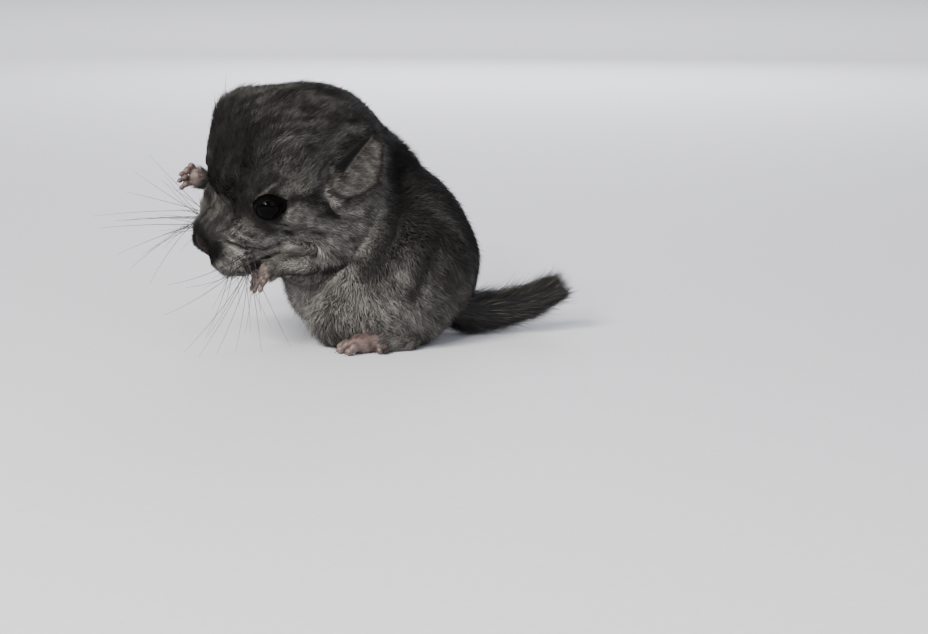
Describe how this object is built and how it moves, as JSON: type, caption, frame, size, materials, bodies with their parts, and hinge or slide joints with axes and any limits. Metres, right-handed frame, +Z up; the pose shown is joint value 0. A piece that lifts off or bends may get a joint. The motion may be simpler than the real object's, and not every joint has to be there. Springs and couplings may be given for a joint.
{
  "type": "young chinchilla",
  "caption": "Still, life-size young chinchilla sitting up on its hind feet, head tilted, both front paws raised, bristly tail laid out behind it.",
  "frame": {"origin": "centre of the footprint of the whole animal, whiskers and tail included, on the floor", "axes": "+X from the nose to the tail, +Y to the animal's right, away from the picture's camera, and +Z up"},
  "size_m": [0.1426, 0.0812, 0.0768],
  "materials": {
    "coat": "dense soft dark grey fur with paler cheeks, flanks and belly",
    "tail_coat": "long coarse near-black hair",
    "bare_skin": "dusty pink bare skin, satin",
    "ear_skin": "thin grey-pink skin under very short hair",
    "eye": "wet, near-black, opaque",
    "whisker": "smooth stiff hair, mostly black"
  },
  "bodies": {
    "root": {"head": "coat", "neck": "coat", "torso": "coat", "haunch_left": "coat", "haunch_right": "coat", "foreleg_left": "coat", "foreleg_right": "coat", "tail": "tail_coat", "hind_foot_left": "bare_skin", "hind_foot_right": "bare_skin", "forepaw_left": "bare_skin", "forepaw_right": "bare_skin", "ear_left": "ear_skin", "ear_right": "ear_skin", "eye_left": "eye", "eye_right": "eye", "whiskers_left": "whisker", "whiskers_right": "whisker"}
  },
  "joints": []
}
